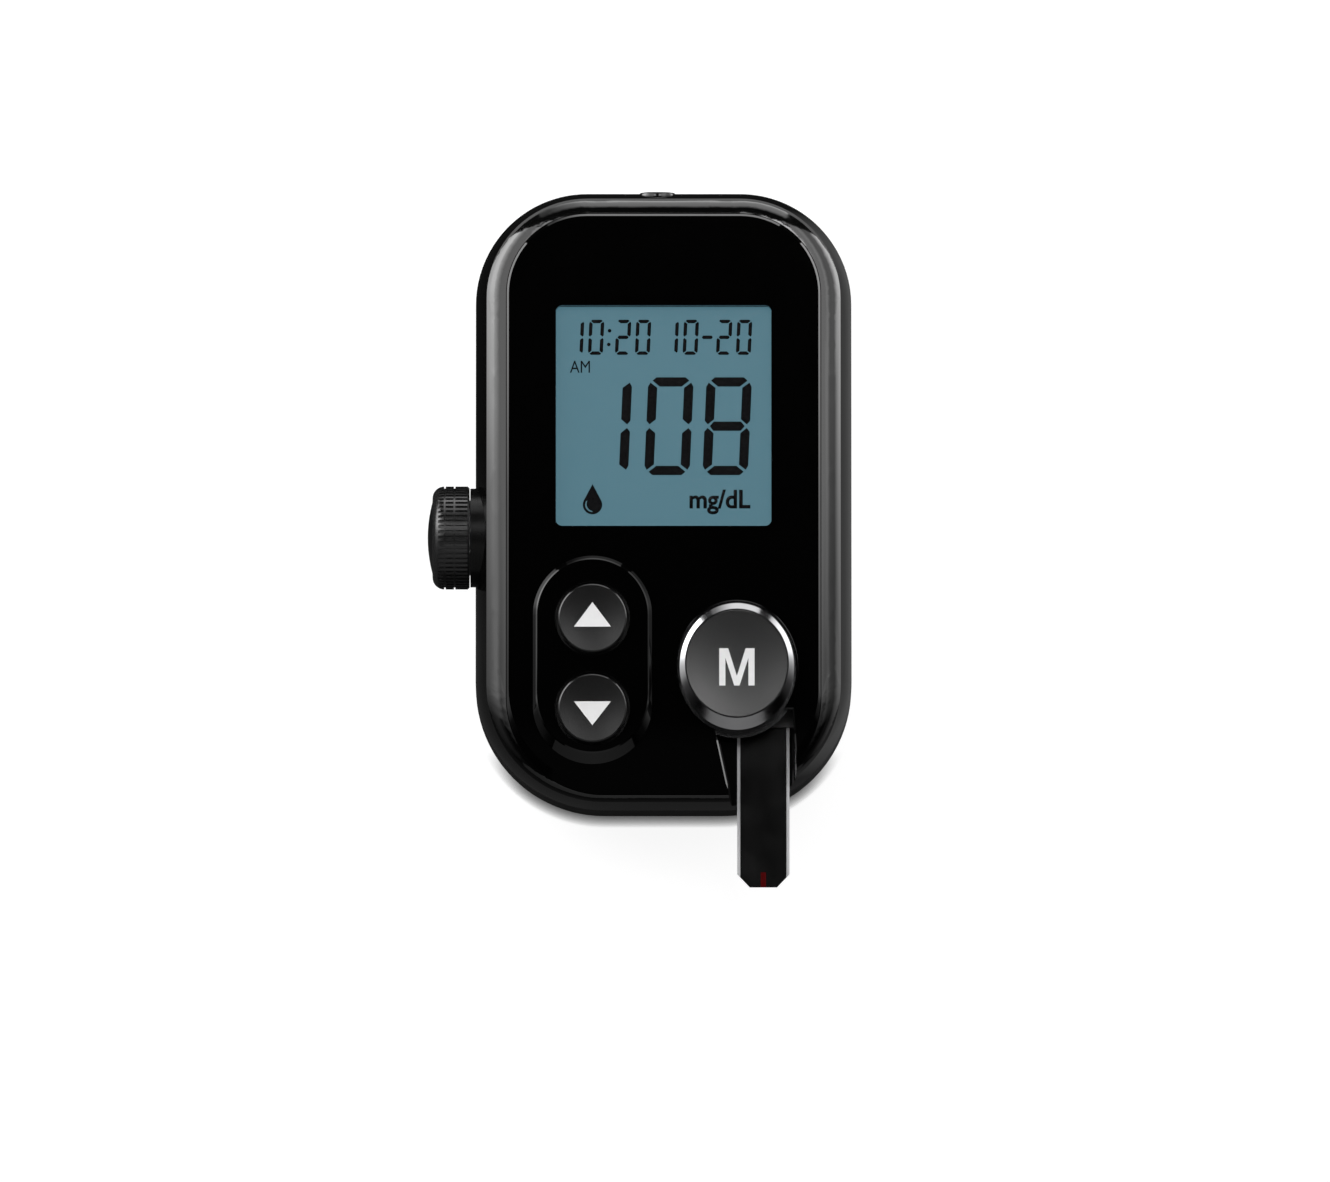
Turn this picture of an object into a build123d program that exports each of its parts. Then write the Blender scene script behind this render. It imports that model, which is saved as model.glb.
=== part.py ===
"""Handheld blood glucose meter, lying on its back.

Frame: origin at the middle of the flat rear face, +Z out of the display, +Y towards the
top end of the meter, +X to the right as the display is read. All sizes in millimetres.
"""

import math
import os

from build123d import *

# ---------------------------------------------------------------- clearances
fit_gap = 0.05          # between fixed pieces that drop into each other
slide_gap = 0.15        # around a piece that slides or turns
key_gap = 0.4           # around a key cap
seam_gap = 0.12         # around the facia plate
shaft_gap = 0.04        # radial, between a shaft and its bore
press_gap = 0.01        # radial, between a shaft and the knob pressed on it
screw_gap = 0.03        # radial, between a screw and its hole

# ---------------------------------------------------------------- body
front_depth = 9.0       # parting plane to facia surface
parting_z = 12.0        # rear face to parting plane
top_corner_r = 16.0
bottom_corner_r = 18.5
wall = 1.8
floor_thick = 1.8
rear_edge_r = 5.0
lip_height = 1.0        # locating lip of the rear shell inside the front shell
lip_thick = 0.85
seam_chamfer = 0.2

crest_drop = 1.5        # the crisp edge round the bezel, below the facia surface
crest_inset = 1.6
crest_inset_foot = 0.35     # at the lower end
flank_rise = 4.2        # the side wall bulges up to here above the parting plane
flank_inset = 0.58
flank_inset_foot = 0.15     # at the lower end
cavity_lean = 1.2       # the front shell's inner wall leans in by this, up to the deck

# ---------------------------------------------------------------- facia plate
facia_side = 4.5        # margins from the body outline
facia_top = 4.0
facia_bottom = 1.3
facia_top_r = 11.5
facia_bottom_r = 14.0
facia_thick = 1.2
facia_drop = 0.25       # the plate slopes down to its edge by this
facia_slope_side = 0.28
facia_slope_top = 0.3
facia_slope_foot = 1.5
facia_chamfer = 0.2     # along the chute and the memory key's hole
deck_thick = 1.5        # ledge of the front shell under the facia
shoulder_in = 0.45      # share of the shoulder's width where it is at shoulder_up
shoulder_up = 0.72      # share of the shoulder's height

# ---------------------------------------------------------------- display
display_margin = 17.3   # top edge of the window, from the body's top end
display_to_keys = 4.35  # window to key island
window_width = 30.9
window_length = 31.8
window_corner_r = 1.0
window_rim = 1.0        # hidden flange of the lens behind the facia
window_rim_thick = 0.4
glass_side = 1.85       # border of the display glass beyond the window
glass_end = 2.9
glass_thick = 1.5
gasket_thick = 0.2
gasket_width = 1.2
frame_wall = 1.2
frame_shift = -0.6      # display stack centre, from the window's centre
guide_web = 0.6         # between the light guide and the rubber strips
guide_thick = 2.2
zebra_inset = 2.3       # strip end, in from the side of the glass
zebra_width = 1.8
zebra_edge = 1.8        # strip centre, in from the end of the glass

# ---------------------------------------------------------------- boards
board_depth = 4.8       # facia's back to the board's top
board_thick = 1.0
board_edge_gap = 0.5
key_board_depth = 2.6   # facia's back to the key board's back
key_board_thick = 0.6
key_board_border = 6.5  # round the memory key's centre
key_leg_border = 3.8    # outside the arrow keys' centres
key_leg_inner = 6.6
key_leg_end = 6.0
dome_r = 2.5
dome_height = 0.35
dome_taper = 60
spacer_r = 1.4
spacer_outer = 2.1      # from the arrow keys' centre line
spacer_inner = 4.9
spacer_end = 4.3        # above the up key and below the down key
buzzer_side = 12.0      # centre, from the body's right side
buzzer_drop = 2.8       # centre, below the dial's axis
buzzer_r = 4.5
buzzer_height = 2.6
buzzer_port_r = 0.8
chips = (
    # from the left side, from the lower end, width, length, height below the board
    (21.0, 23.6, 7.0, 7.0, 1.0),
    (33.0, 27.6, 5.0, 4.0, 1.2),
    (18.0, 11.6, 4.0, 5.0, 1.2),
    (14.0, 47.6, 3.2, 1.6, 0.8),
)

# ---------------------------------------------------------------- keys
key_travel = 0.5
key_rest_gap = 0.05     # flange below its stop, and plunger above the pressed dome
flange_thick = 0.65
plunger_r = 1.6

arrow_r = 5.0
arrow_gap = 3.0         # between the two caps
arrow_shift = -0.6      # middle of the pair, from the island's middle
arrow_rise = 0.7        # cap above the island
arrow_edge = 0.45
arrow_dish = 0.25
arrow_flange = 1.0      # flange beyond the cap

island_border = 3.55    # island round the caps
island_margin_side = 8.25   # from the body's left side
island_margin_end = 5.65    # from the body's lower end
island_rise = 0.7
island_side = 0.5       # slope width at the sides and the top
island_foot = 1.6       # slope width at the lower end
island_edge = 0.12

memory_margin_side = 8.3    # from the body's right side
memory_margin_end = 10.45   # from the body's lower end
memory_half_width = 8.2
memory_half_length = 9.15
memory_rise = 1.7
memory_drop = 0.5       # the rim slopes down from its lip by this
memory_slope_side = 0.75
memory_slope_top = 0.85
memory_slope_foot = 1.65
memory_lip = 0.15       # lip round the cap
memory_cap_thick = 0.85
memory_cap_edge = 0.15
memory_cap_dish = 0.3
memory_flange = 0.9     # flange beyond the rim

# ---------------------------------------------------------------- top button
top_button_x = -0.9
top_button_rise = 0.6   # above the board's top
top_button_half_width = 2.6
top_button_half_height = 1.7
top_button_proud = 0.3
top_button_flange_width = 8.0
top_button_flange_height = 4.4
top_button_flange_thick = 0.7
top_button_stem_r = 1.2
top_button_stem = 0.4
switch_width = 6.0
switch_depth = 3.5
switch_height = 2.4
switch_nub = 0.35
switch_nub_r = 0.7

# ---------------------------------------------------------------- strip and its port
strip_offset = 3.8      # to the right of the memory key's centre
strip_depth = 3.6       # facia's back to the strip's underside
strip_width = 7.5
strip_length = 33.6
strip_base_thick = 0.3
strip_cover_thick = 0.1
strip_cover_width = 6.6
strip_tip_width = 3.9
strip_tip_length = 1.9
strip_bare = 8.5        # contact end without the cover film
channel_width = 0.75
channel_length = 2.15
strip_seat = 10.6       # length inside the port
port_side = 1.25        # port wall beside the strip
port_inset = 11.4       # mouth, in from the body's lower end
port_length = 13.2
slot_height = 0.6
contact_count = 4
contact_pitch = 1.8
contact_width = 0.6
contact_thick = 0.2
contact_reach = 3.0     # free end, in from the mouth

trough_floor = 1.4
trough_wall = 1.5
chute_root = 2.2        # inner end, behind the port's mouth
chute_root_left = 7.65  # walls, from the strip's centre line
chute_bend_left = 5.3
chute_mouth_left = 4.8
chute_root_right = 4.2
chute_mouth_right = 5.6
chute_left_lean = 0.5   # the walls lean in towards the floor
chute_right_lean = 1.5

# ---------------------------------------------------------------- side dial
dial_y = -5.2
dial_r = 7.4
dial_standoff = 0.9     # from the body's side
dial_length = 5.3
dial_front_round = 1.7
dial_back_step = 0.25
knurl_count = 60
knurl_depth = 0.28
knurl_width = 0.42
knurl_grooves = (2.0, 3.4)  # from the dial's inner end
knurl_groove_width = 0.25
dial_wall = 1.2
nut_clear = 0.6         # beyond the nut, inside the dial
dial_cap_border = 2.2
dial_cap_dome = 0.7
dial_cap_seat = 0.8
collar_step = 0.3       # collar inside the dial's radius
collar_gap = 0.15
collar_neck_r = 5.0
collar_flange_r = 6.2
collar_flange_thick = 1.1
encoder_width = 9.6
encoder_depth = 4.6
encoder_floor = 1.0
encoder_clear = 0.95    # to the display holder
bushing_r = 3.5
bushing_proud = 0.25    # beyond the nut
nut_across = 9.4
nut_thick = 1.6
shaft_r = 2.0
shaft_cover = 1.0       # shaft end to the dial's outer face

# ---------------------------------------------------------------- battery
battery_y = 20.0
cell_r = 10.0
cell_thick = 3.2
cell_count = 2
cell_gap = 0.25         # radial, cell to well
cell_lid_inset = 1.0    # the smaller pole of a cell
cell_lid_height = 0.4
well_wall = 1.4
door_border = 0.9       # door beyond the lugs
door_thick = 0.9
drum_border = 0.6       # drum beyond the well's bore
drum_top = 2.1
lug_depth = 1.25        # lugs beyond the drum
lug_thick = 0.8
lug_angle = 28.0
lug_slack = 3.0         # degrees that an entry notch is wider than its lug
lug_count = 3
door_turn = 30.0
coin_slot_length = 13.0
coin_slot_width = 1.8
coin_slot_depth = 0.55
contact_strip = 0.25
contact_strip_width = 3.0
contact_foot = 2.25     # length of a foot on the board
contact_pad = 5.0       # length of the pad on the top cell

# ---------------------------------------------------------------- screws
screw_r = 1.0
screw_head_r = 1.9
screw_head_height = 1.3
screw_length = 12.0
screw_bite = 2.9        # above the parting plane
recess_length = 2.2
recess_width = 0.45
recess_depth = 0.7
boss_r = 2.5
rear_boss_r = 3.1
boss_top_side = 9.0     # from the body's side
boss_low_side = 10.2
boss_end = 11.0         # from the body's ends
post_r = 1.7
board_screw_r = 0.8
board_screw_head_r = 1.4
board_screw_head = 0.9
board_screw_depth = 2.4
post_side = 2.5         # upper posts, beside the display holder
post_rise = 6.6         # above the display's middle
post_low_side = 2.95    # lower post, beside the trough
post_low_end = 7.0      # from the body's lower end

# ---------------------------------------------------------------- heights
body_thick = parting_z + front_depth
crest_z = body_thick - crest_drop
facia_back = body_thick - facia_thick
deck_back = facia_back - deck_thick
glass_back = facia_back - gasket_thick - glass_thick
board_top = facia_back - board_depth
board_back = board_top - board_thick
key_board_back = facia_back - key_board_depth
key_board_top = key_board_back + key_board_thick
flange_top = facia_back - key_rest_gap
plunger_tip = key_board_top + dome_height + key_travel + key_rest_gap
arrow_face = body_thick + island_rise + arrow_rise
memory_face = body_thick + memory_rise
strip_z = facia_back - strip_depth
film_z = strip_z + strip_base_thick
slot_floor = strip_z - (slot_height - strip_base_thick - strip_cover_thick) / 2
chute_floor = strip_z - slide_gap
trough_bottom = chute_floor - trough_floor
top_button_z = board_top + top_button_rise
dial_z = parting_z
cell_bottom = drum_top + fit_gap
cell_top = cell_bottom + cell_count * cell_thick
skirt_top = drum_top + lug_thick + slide_gap
screw_seat_z = parting_z + screw_bite - screw_length

# ---------------------------------------------------------------- sizes and places in plan
glass_width = window_width + 2 * glass_side
glass_length = window_length + 2 * glass_end
frame_width = glass_width + 2 * frame_wall
frame_length = glass_length + 2 * frame_wall
arrow_pitch = 2 * arrow_r + arrow_gap
arrow_flange_r = arrow_r + arrow_flange
island_width = 2 * (arrow_r + island_border)
island_length = arrow_pitch + island_width

# the display holder, the encoder beside it and the wall set the width
encoder_room = encoder_clear + encoder_depth + fit_gap + collar_flange_thick + wall
body_width = frame_width + 2 * encoder_room
# the window and the key island, one below the other, set the length
body_length = display_margin + window_length + display_to_keys + island_length + island_margin_end
side_x = body_width / 2
end_y = body_length / 2

display_y = end_y - display_margin - window_length / 2
stack_y = display_y + frame_shift
arrow_x = island_margin_side + island_width / 2 - side_x
island_y = island_margin_end + island_length / 2 - end_y
up_y = island_y + arrow_shift + arrow_pitch / 2
down_y = up_y - arrow_pitch
memory_x = side_x - memory_margin_side - memory_half_width
memory_y = memory_margin_end + memory_half_length - end_y

strip_x = memory_x + strip_offset
port_mouth_y = port_inset - end_y
port_back_y = port_mouth_y + port_length
buzzer_x = side_x - buzzer_side
buzzer_y = dial_y - buzzer_drop
port_width = strip_width + 2 * port_side
strip_end_y = port_mouth_y + strip_seat - strip_length
slot_end_y = port_mouth_y + strip_seat + slide_gap
trough_left = strip_x - chute_root_left - trough_wall
trough_right = strip_x + chute_mouth_right + trough_wall
trough_back = port_mouth_y - fit_gap

cavity_wall_share = (top_button_z + top_button_flange_height / 2 - parting_z) / (deck_back - parting_z)
flange_stop = end_y - wall - cavity_lean * cavity_wall_share - slide_gap
flange_front = flange_stop - top_button_flange_thick
top_face = end_y - flank_inset + top_button_proud
stem_tip = flange_front - top_button_stem
switch_front = stem_tip - key_travel - key_rest_gap - switch_nub

# distances outward from the body's middle plane
encoder_face = side_x - wall - collar_flange_thick - fit_gap
encoder_back = encoder_face - encoder_depth
dial_inner = side_x + dial_standoff
dial_outer = dial_inner + dial_length
collar_face = dial_inner - collar_gap
bushing_end = collar_face + nut_thick + bushing_proud
shaft_start = encoder_back + encoder_floor + slide_gap
shaft_end = dial_outer - shaft_cover
collar_r = dial_r - collar_step
dial_cap_r = dial_r - dial_cap_border

well_r = cell_r + cell_gap
drum_r = well_r + drum_border
lug_reach = drum_r + lug_depth
lug_room = lug_reach + slide_gap
door_r = lug_reach + door_border

boss_places = (
    (boss_top_side - side_x, end_y - boss_end),
    (side_x - boss_top_side, end_y - boss_end),
    (boss_low_side - side_x, boss_end - end_y),
    (side_x - boss_low_side, boss_end - end_y),
)
post_places = (
    (-frame_width / 2 - post_side, display_y + post_rise),
    (frame_width / 2 + post_side, display_y + post_rise),
    (trough_left - post_low_side, post_low_end - end_y),
)

os.makedirs("parts", exist_ok=True)


# ---------------------------------------------------------------- outlines
def rounded_outline(height, side, top, bottom, top_r, bottom_r):
    """Rounded rectangle at a height, set in from the body's outline by its margins."""
    with BuildSketch(Plane.XY.offset(height)) as sketch:
        with Locations((0, (bottom - top) / 2)):
            Rectangle(body_width - 2 * side, body_length - top - bottom)
        fillet(sketch.vertices().group_by(Axis.Y)[-1], radius=top_r)
        fillet(sketch.vertices().group_by(Axis.Y)[0], radius=bottom_r)
    return sketch.sketch


def body_outline(height, inset=0.0, foot=None):
    """The body's outline at a height, moved in all round, or by foot at the lower end."""
    return rounded_outline(
        height,
        inset,
        inset,
        inset if foot is None else foot,
        top_corner_r - inset,
        bottom_corner_r - inset,
    )


def cavity_inset(height):
    """How far the front shell's inner wall stands inside the body's outline."""
    return wall + cavity_lean * (height - parting_z) / (deck_back - parting_z)


def facia_outline(height, grow=0.0, slope=0.0):
    """The facia plate's outline at a height; slope is 1 at the edge of its flat face."""
    return rounded_outline(
        height,
        facia_side - grow + slope * facia_slope_side,
        facia_top - grow + slope * facia_slope_top,
        facia_bottom - grow + slope * facia_slope_foot,
        facia_top_r + grow - slope * facia_slope_side,
        facia_bottom_r + grow - slope * facia_slope_side,
    )


def shoulder_outline(share_in, share_up):
    """A section of the bezel shoulder, between the crest and the facia."""

    def between(start, end):
        return start + (end - start) * share_in

    return rounded_outline(
        crest_z + (crest_drop - facia_drop) * share_up,
        between(crest_inset, facia_side - seam_gap),
        between(crest_inset, facia_top - seam_gap),
        between(crest_inset_foot, facia_bottom - seam_gap),
        between(top_corner_r - crest_inset, facia_top_r + seam_gap),
        between(bottom_corner_r - crest_inset, facia_bottom_r + seam_gap),
    )


def island_outline(height, side=0.0, foot=0.0, grow=0.0):
    """The key island's oval at a height; side narrows it, foot lifts its lower end."""
    width = island_width - 2 * side + 2 * grow
    length = island_length - side - foot + 2 * grow
    with BuildSketch(Plane.XY.offset(height)) as sketch:
        with Locations((arrow_x, island_y + (foot - side) / 2)):
            SlotOverall(length, width, rotation=90)
    return sketch.sketch


def memory_oval(height, grow=0.0, slope=0.0):
    """The memory key's oval at a height; slope is 0 at the rim's foot and 1 at its lip."""
    half_width = memory_half_width - slope * memory_slope_side + grow
    half_length = memory_half_length - slope * (memory_slope_top + memory_slope_foot) / 2 + grow
    rise = slope * (memory_slope_foot - memory_slope_top) / 2
    with BuildSketch(Plane.XY.offset(height)) as sketch:
        with Locations((memory_x, memory_y + rise)):
            Ellipse(half_width, half_length)
    return sketch.sketch


def disc(height, radius, x=0.0, y=0.0):
    """A circle at a height."""
    with BuildSketch(Plane.XY.offset(height)) as sketch:
        with Locations((x, y)):
            Circle(radius)
    return sketch.sketch


def panel(height, width, length, x=0.0, y=0.0, corner=0.0):
    """A rectangle at a height, with rounded corners where corner is given."""
    with BuildSketch(Plane.XY.offset(height)) as sketch:
        with Locations((x, y)):
            Rectangle(width, length)
        if corner > 0:
            fillet(sketch.vertices(), radius=corner)
    return sketch.sketch


def chute_outline(height, lean):
    """The strip chute in plan; lean is 1 at the floor and 0 at the rim."""
    root_y = port_mouth_y + chute_root
    bend_y = facia_bottom + facia_slope_foot - end_y
    mouth_y = -end_y - wall
    left = lean * chute_left_lean
    right = lean * chute_right_lean
    with BuildSketch(Plane.XY.offset(height)) as sketch:
        with Locations((strip_x, 0)):
            Polygon(
                (left - chute_root_left, root_y),
                (left - chute_bend_left, bend_y),
                (left - chute_mouth_left, mouth_y),
                (chute_mouth_right - right, mouth_y),
                (chute_root_right, root_y),
                align=None,
            )
    return sketch.sketch


def sector(radius, angle):
    """A slice of a disc round the origin, centred on +X."""
    half = math.radians(angle / 2)
    start = (radius * math.cos(half), -radius * math.sin(half))
    end = (start[0], -start[1])
    with BuildSketch() as sketch:
        with BuildLine():
            Line((0, 0), start)
            ThreePointArc(start, (radius, 0), end)
            Line(end, (0, 0))
        make_face()
    return sketch.sketch


def outward(distance):
    """Plane across the dial's axis, with its normal away from the body."""
    return Plane(origin=(-distance, dial_y, dial_z), x_dir=(0, 1, 0), z_dir=(-1, 0, 0))


def dial_disc(distance, radius):
    """A circle across the dial's axis."""
    with BuildSketch(outward(distance)) as sketch:
        Circle(radius)
    return sketch.sketch


def to_top_end(distance):
    """Plane across the top button's axis, with its normal towards the top end."""
    return Plane(origin=(top_button_x, distance, top_button_z), x_dir=(1, 0, 0), z_dir=(0, 1, 0))


def top_oval(distance, grow=0.0):
    """The top button's oval across its axis."""
    with BuildSketch(to_top_end(distance)) as sketch:
        Ellipse(top_button_half_width + grow, top_button_half_height + grow)
    return sketch.sketch


# ---------------------------------------------------------------- the meter's outer form
flank = (
    body_outline(parting_z),
    body_outline(parting_z + flank_rise, flank_inset, flank_inset_foot),
    shoulder_outline(0.0, 0.0),
)
shoulder = (
    shoulder_outline(0.0, 0.0),
    shoulder_outline(shoulder_in, shoulder_up),
    shoulder_outline(1.0, 1.0),
)

with BuildPart() as rear_form:
    extrude(body_outline(0), amount=parting_z)
    fillet(rear_form.faces().sort_by(Axis.Z)[0].edges(), radius=rear_edge_r)
    chamfer(rear_form.faces().sort_by(Axis.Z)[-1].edges(), length=seam_chamfer)

with BuildPart() as front_form:
    loft(sections=flank)
    loft(sections=shoulder)

with BuildPart() as chute:
    loft(
        sections=(
            chute_outline(chute_floor, 1),
            chute_outline(memory_face, 0),
        ),
        ruled=True,
    )

with BuildPart() as collar_seat:
    extrude(dial_disc(side_x - 2 * wall, collar_neck_r + fit_gap), amount=3 * wall)
    extrude(dial_disc(side_x - 3 * wall, collar_flange_r + fit_gap), amount=2 * wall)

# ---------------------------------------------------------------- rear shell
with BuildPart() as rear_cavity:
    extrude(body_outline(floor_thick, wall), amount=parting_z)
    fillet(rear_cavity.faces().sort_by(Axis.Z)[0].edges(), radius=rear_edge_r - wall)
    # bosses and the battery well are left standing
    with BuildSketch(Plane.XY.offset(floor_thick)):
        with Locations(*boss_places):
            Circle(rear_boss_r)
    extrude(amount=parting_z - floor_thick, mode=Mode.SUBTRACT)
    extrude(
        disc(floor_thick, lug_room + well_wall, 0, battery_y),
        amount=skirt_top + well_wall - floor_thick,
        mode=Mode.SUBTRACT,
    )
    extrude(
        disc(floor_thick, well_r + well_wall, 0, battery_y),
        amount=cell_top - floor_thick,
        mode=Mode.SUBTRACT,
    )

with BuildPart() as rear_housing:
    add(rear_form.part)
    extrude(body_outline(parting_z, wall - lip_thick), amount=lip_height)
    add(rear_cavity.part, mode=Mode.SUBTRACT)
    # battery well: door seat, lug track, cell bore
    extrude(
        disc(0, door_r + slide_gap, 0, battery_y),
        amount=door_thick + slide_gap / 2,
        mode=Mode.SUBTRACT,
    )
    extrude(disc(0, drum_r + slide_gap, 0, battery_y), amount=floor_thick, mode=Mode.SUBTRACT)
    extrude(disc(floor_thick, lug_room, 0, battery_y), amount=skirt_top - floor_thick, mode=Mode.SUBTRACT)
    extrude(disc(skirt_top, well_r, 0, battery_y), amount=parting_z, mode=Mode.SUBTRACT)
    # entry notches, where the door's lugs pass the ledge
    with BuildSketch(Plane.XY):
        with Locations((0, battery_y)):
            with PolarLocations(0, lug_count, start_angle=-door_turn):
                add(sector(lug_room, lug_angle + lug_slack))
    extrude(amount=floor_thick, mode=Mode.SUBTRACT)
    # slot in the well for the side contact
    with BuildSketch(Plane.XY.offset(skirt_top + well_wall)):
        with Locations((0, battery_y - cell_r - well_wall)):
            Rectangle(contact_strip_width + 2 * slide_gap, 2 * well_wall + cell_gap)
    extrude(amount=parting_z, mode=Mode.SUBTRACT)
    # screws
    with BuildSketch(Plane.XY):
        with Locations(*boss_places):
            Circle(screw_head_r + slide_gap)
    extrude(amount=screw_seat_z, mode=Mode.SUBTRACT)
    with BuildSketch(Plane.XY):
        with Locations(*boss_places):
            Circle(screw_r + screw_gap)
    extrude(amount=parting_z, mode=Mode.SUBTRACT)
    # half of the dial's hole
    add(collar_seat.part, mode=Mode.SUBTRACT)
rear_housing.part.label = "rear_housing"
export_step(rear_housing.part, "parts/rear_housing.step")

# ---------------------------------------------------------------- front shell
with BuildPart() as front_cavity:
    loft(
        sections=(body_outline(parting_z, wall), body_outline(deck_back, cavity_inset(deck_back))),
        ruled=True,
    )
    # the trough under the strip, the bosses and the board posts are left standing
    with BuildSketch(Plane.XY.offset(trough_bottom)):
        Polygon(
            (trough_left, trough_back),
            (trough_right, trough_back),
            (trough_right, -end_y),
            (trough_left, -end_y),
            align=None,
        )
    extrude(amount=body_thick, mode=Mode.SUBTRACT)
    with BuildSketch(Plane.XY.offset(parting_z)):
        with Locations(*boss_places[:3]):
            Circle(boss_r)
    extrude(amount=body_thick, mode=Mode.SUBTRACT)
    with BuildSketch(Plane.XY.offset(parting_z)):
        with Locations(boss_places[3]):
            Circle(boss_r)
    extrude(amount=trough_bottom - parting_z, mode=Mode.SUBTRACT)
    with BuildSketch(Plane.XY.offset(board_top)):
        with Locations(*post_places):
            Circle(post_r)
    extrude(amount=body_thick, mode=Mode.SUBTRACT)

with BuildPart() as front_housing:
    add(front_form.part)
    add(front_cavity.part, mode=Mode.SUBTRACT)
    # rebate for the rear shell's lip
    extrude(
        body_outline(parting_z, wall - lip_thick - fit_gap),
        amount=lip_height + fit_gap,
        mode=Mode.SUBTRACT,
    )
    with BuildSketch(Plane.XY.offset(parting_z)):
        with Locations(*boss_places):
            Circle(boss_r)
    extrude(amount=lip_height + fit_gap)
    # seat of the facia
    extrude(facia_outline(facia_back, seam_gap), amount=facia_thick, mode=Mode.SUBTRACT)
    # openings in the deck: display stack, arrow keys, memory key
    extrude(
        panel(deck_back, frame_width + 2 * fit_gap, frame_length + 2 * fit_gap, 0, stack_y),
        amount=deck_thick,
        mode=Mode.SUBTRACT,
    )
    with BuildSketch(Plane.XY.offset(deck_back)):
        with Locations((arrow_x, (up_y + down_y) / 2)):
            SlotCenterToCenter(up_y - down_y, 2 * (arrow_flange_r + key_gap), rotation=90)
    extrude(amount=deck_thick, mode=Mode.SUBTRACT)
    extrude(memory_oval(deck_back, memory_flange + key_gap), amount=deck_thick, mode=Mode.SUBTRACT)
    add(chute.part, mode=Mode.SUBTRACT)
    # pilot holes
    with BuildSketch(Plane.XY.offset(parting_z)):
        with Locations(*boss_places):
            Circle(screw_r + screw_gap)
    extrude(amount=screw_seat_z + screw_length + screw_gap - parting_z, mode=Mode.SUBTRACT)
    with BuildSketch(Plane.XY.offset(board_top)):
        with Locations(*post_places):
            Circle(board_screw_r + screw_gap)
    extrude(amount=board_screw_depth, mode=Mode.SUBTRACT)
    # holes for the top button and for the other half of the dial
    extrude(top_oval(end_y - 3 * wall, slide_gap), amount=4 * wall, mode=Mode.SUBTRACT)
    add(collar_seat.part, mode=Mode.SUBTRACT)
front_housing.part.label = "front_housing"
export_step(front_housing.part, "parts/front_housing.step")

# ---------------------------------------------------------------- facia
flat_face = facia_outline(body_thick, -fit_gap, 1).face()

with BuildPart() as front_panel:
    extrude(facia_outline(facia_back), amount=facia_thick - facia_drop)
    loft(sections=(facia_outline(body_thick - facia_drop), facia_outline(body_thick, slope=1)))
    extrude(memory_oval(facia_back, key_gap), amount=facia_thick, mode=Mode.SUBTRACT)
    add(chute.part, mode=Mode.SUBTRACT)
    # the edges inside the flat face are those of the chute and the memory key's hole
    top_edges = front_panel.faces().sort_by(Axis.Z)[-1].outer_wire().edges()
    chamfer([edge for edge in top_edges if flat_face.is_inside(edge @ 0.5)], length=facia_chamfer)
    # lens opening, stepped from behind
    extrude(
        panel(
            facia_back,
            window_width + 2 * fit_gap,
            window_length + 2 * fit_gap,
            0,
            display_y,
            window_corner_r,
        ),
        amount=facia_thick,
        mode=Mode.SUBTRACT,
    )
    extrude(
        panel(
            facia_back,
            window_width + 2 * (window_rim + fit_gap),
            window_length + 2 * (window_rim + fit_gap),
            0,
            display_y,
            window_corner_r,
        ),
        amount=window_rim_thick,
        mode=Mode.SUBTRACT,
    )
    extrude(island_outline(facia_back, grow=fit_gap), amount=facia_thick, mode=Mode.SUBTRACT)
front_panel.part.label = "front_panel"
export_step(front_panel.part, "parts/front_panel.step")

with BuildPart() as display_window:
    extrude(
        panel(facia_back, window_width, window_length, 0, display_y, window_corner_r),
        amount=facia_thick,
    )
    extrude(
        panel(
            facia_back,
            window_width + 2 * window_rim,
            window_length + 2 * window_rim,
            0,
            display_y,
            window_corner_r,
        ),
        amount=window_rim_thick - fit_gap,
    )
display_window.part.label = "display_window"
export_step(display_window.part, "parts/display_window.step")

# ---------------------------------------------------------------- display stack
with BuildPart() as display_gasket:
    extrude(
        panel(
            glass_back + glass_thick,
            window_width + 2 * gasket_width,
            window_length + 2 * gasket_width,
            0,
            display_y,
        ),
        amount=gasket_thick,
    )
    extrude(
        panel(glass_back + glass_thick, window_width, window_length, 0, display_y),
        amount=gasket_thick,
        mode=Mode.SUBTRACT,
    )
display_gasket.part.label = "display_gasket"
export_step(display_gasket.part, "parts/display_gasket.step")

with BuildPart() as lcd_glass:
    extrude(panel(glass_back, glass_width, glass_length, 0, stack_y), amount=glass_thick)
lcd_glass.part.label = "lcd_glass"
export_step(lcd_glass.part, "parts/lcd_glass.step")

guide_length = glass_length - 2 * zebra_edge - zebra_width - 2 * guide_web
zebra_length = glass_width - 2 * zebra_inset
zebra_places = [(0, stack_y + side * (glass_length / 2 - zebra_edge)) for side in (-1, 1)]

with BuildPart() as lcd_frame:
    extrude(
        panel(board_top, frame_width, frame_length, 0, stack_y),
        amount=glass_back + glass_thick - board_top,
    )
    # pocket for the glass, pocket for the light guide, slots for the rubber strips
    extrude(
        panel(glass_back, glass_width + 2 * fit_gap, glass_length + 2 * fit_gap, 0, stack_y),
        amount=glass_thick,
        mode=Mode.SUBTRACT,
    )
    extrude(
        panel(
            glass_back - guide_thick - fit_gap,
            window_width + 2 * fit_gap,
            guide_length + 2 * fit_gap,
            0,
            stack_y,
        ),
        amount=guide_thick + fit_gap,
        mode=Mode.SUBTRACT,
    )
    with BuildSketch(Plane.XY.offset(board_top)):
        with Locations(*zebra_places):
            Rectangle(zebra_length + 2 * fit_gap, zebra_width + 2 * fit_gap)
    extrude(amount=glass_back - board_top, mode=Mode.SUBTRACT)
lcd_frame.part.label = "lcd_frame"
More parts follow.
